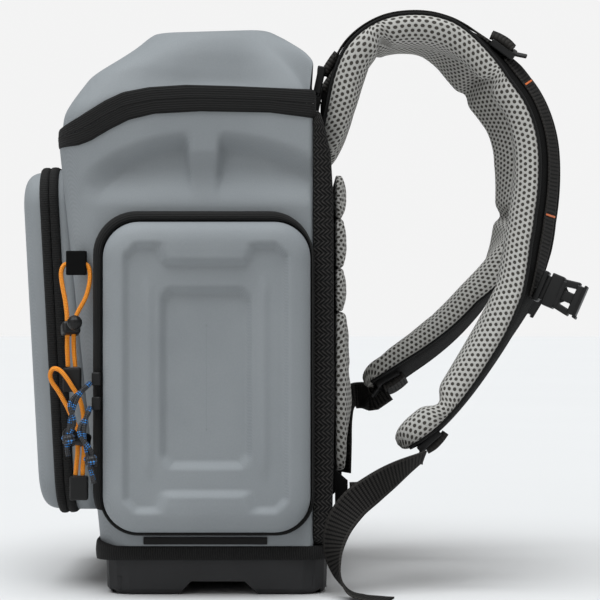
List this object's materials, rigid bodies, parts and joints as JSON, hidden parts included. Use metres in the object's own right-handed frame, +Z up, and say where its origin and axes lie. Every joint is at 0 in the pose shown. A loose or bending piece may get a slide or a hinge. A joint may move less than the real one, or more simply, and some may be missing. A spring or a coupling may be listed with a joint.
{
  "type": "tackle backpack",
  "caption": "Hard-based fishing tackle backpack with a zipped domed lid, moulded side and front pockets, tray slot, padded shoulder straps and side cords for rods.",
  "frame": {"origin": "centre of the bounding box's footprint, on the surface the base stands on", "axes": "+Z up, +X from the front pocket to the shoulder straps, Y across the pack with the near side at -Y"},
  "size_m": [0.4696, 0.3528, 0.4905],
  "materials": {
    "grey_cloth": "moulded foam faced with twill cloth",
    "black_cloth": "matte zip tape, spacer mesh and lining",
    "grey_mesh": "padded open air mesh",
    "black_webbing": "ribbed woven webbing",
    "black_plastic": "fine moulded texture",
    "orange_cord": "braided elastic cord",
    "blue_cord": "braided cord, dark with blue tracer"
  },
  "bodies": {
    "pack": {"base_tray": "black_plastic", "base_binding": "black_webbing", "main_shell": "grey_cloth", "shell_zip_tape": "black_cloth", "divider": "black_cloth", "rear_yoke": "black_cloth", "back_gusset": "black_cloth", "frame_sheet": "black_plastic", "back_foam": "black_cloth", "back_pad_1": "grey_mesh", "back_pad_2": "grey_mesh", "back_pad_3": "grey_mesh", "back_pad_4": "grey_mesh", "anchor_wing_near": "black_webbing", "anchor_wing_far": "black_webbing", "yoke_lock_near": "black_plastic", "yoke_lock_far": "black_plastic", "front_frame": "grey_cloth", "front_zip_frame": "black_cloth", "side_zip_frame_near": "black_cloth", "side_zip_frame_far": "black_cloth", "cord_loop_upper": "black_webbing", "bungee_upper": "orange_cord", "bungee_lower": "orange_cord", "cord_lock_upper": "black_plastic", "cord_lock_lower": "black_plastic", "cord_end_upper": "black_plastic", "cord_end_lower": "black_plastic"},
    "lid": {"lid_shell": "grey_cloth", "lid_zip_tape": "black_cloth"},
    "door_near": {"side_door_near": "grey_cloth"},
    "door_far": {"side_door_far": "grey_cloth"},
    "door_front": {"front_door": "grey_cloth", "front_door_tape": "black_cloth"},
    "strap_near": {"strap_pad_near": "grey_mesh", "daisy_webbing_near": "black_webbing", "lifter_webbing_near": "black_webbing", "chest_lock_near": "black_plastic", "lower_lock_near": "black_plastic", "lower_webbing_near": "black_webbing", "webbing_tail_near": "black_webbing"},
    "strap_far": {"strap_pad_far": "grey_mesh", "daisy_webbing_far": "black_webbing", "lifter_webbing_far": "black_webbing", "chest_lock_far": "black_plastic", "lower_lock_far": "black_plastic", "lower_webbing_far": "black_webbing"},
    "sternum_near": {"sternum_buckle_near": "black_plastic"},
    "sternum_far": {"sternum_buckle_far": "black_plastic"},
    "handle": {"carry_handle": "black_webbing"},
    "pull_upper": {"near_slider_upper": "black_plastic", "zip_pull_upper": "blue_cord"},
    "pull_lower": {"near_slider_lower": "black_plastic", "zip_pull_lower": "blue_cord"},
    "slider_far": {"far_slider": "black_plastic"},
    "slider_front": {"front_slider": "black_plastic"},
    "slider_lid_a": {"lid_slider_a": "black_plastic"},
    "slider_lid_b": {"lid_slider_b": "black_plastic"},
    "button_upper": {"lock_button_upper": "black_plastic"},
    "button_lower": {"lock_button_lower": "black_plastic"}
  },
  "joints": [
    {"name": "lid_hinge", "type": "hinge", "parent": "pack", "child": "lid", "pos_m": [0.0049, 0, 0.4375], "axis": [0, 1, 0], "range_deg": [0, 90]},
    {"name": "door_near_hinge", "type": "hinge", "parent": "pack", "child": "door_near", "pos_m": [-0.0771, -0.1485, 0.0515], "axis": [1, 0, 0], "range_deg": [0, 90]},
    {"name": "door_far_hinge", "type": "hinge", "parent": "pack", "child": "door_far", "pos_m": [-0.0771, 0.1485, 0.0515], "axis": [-1, 0, 0], "range_deg": [0, 90]},
    {"name": "door_front_hinge", "type": "hinge", "parent": "pack", "child": "door_front", "pos_m": [-0.19617, 0, 0.06239], "axis": [0, -1, 0], "range_deg": [0, 90]},
    {"name": "strap_near_swing", "type": "hinge", "parent": "pack", "child": "strap_near", "pos_m": [0.0134, -0.112, 0.385], "axis": [0.0733, -0.0423, -0.9964], "range_deg": [0, 13]},
    {"name": "strap_far_swing", "type": "hinge", "parent": "pack", "child": "strap_far", "pos_m": [0.0134, 0.112, 0.385], "axis": [-0.0733, -0.0423, 0.9964], "range_deg": [0, 40]},
    {"name": "sternum_near_slide", "type": "slide", "parent": "strap_near", "child": "sternum_near", "axis": [-0.4009, 0, -0.9161], "range_m": [-0.015, 0.015]},
    {"name": "sternum_far_slide", "type": "slide", "parent": "strap_far", "child": "sternum_far", "axis": [-0.5191, 0, -0.8547], "range_m": [-0.015, 0.015]},
    {"name": "handle_swing", "type": "hinge", "parent": "pack", "child": "handle", "pos_m": [0.0141, 0, 0.4142], "axis": [0, -1, 0], "range_deg": [0, 55]},
    {"name": "pull_upper_slide", "type": "slide", "parent": "pack", "child": "pull_upper", "axis": [0, 0, 1], "range_m": [0, 0.09]},
    {"name": "pull_lower_slide", "type": "slide", "parent": "pack", "child": "pull_lower", "axis": [0, 0, -1], "range_m": [0, 0.06]},
    {"name": "slider_far_slide", "type": "slide", "parent": "pack", "child": "slider_far", "axis": [0, 0, 1], "range_m": [-0.08, 0.09]},
    {"name": "slider_front_slide", "type": "slide", "parent": "pack", "child": "slider_front", "axis": [0, 1, 0], "range_m": [-0.07, 0.07]},
    {"name": "slider_lid_a_slide", "type": "slide", "parent": "pack", "child": "slider_lid_a", "axis": [1, 0, 0], "range_m": [0, 0.05]},
    {"name": "slider_lid_b_slide", "type": "slide", "parent": "pack", "child": "slider_lid_b", "axis": [-1, 0, 0], "range_m": [0, 0.04]},
    {"name": "button_upper_press", "type": "slide", "parent": "pack", "child": "button_upper", "axis": [-0.3015, 0.9045, -0.3015], "range_m": [0, 0.003], "stiffness_N_per_m": 800},
    {"name": "button_lower_press", "type": "slide", "parent": "pack", "child": "button_lower", "axis": [0.4492, 0.8486, -0.2795], "range_m": [0, 0.003], "stiffness_N_per_m": 800}
  ]
}
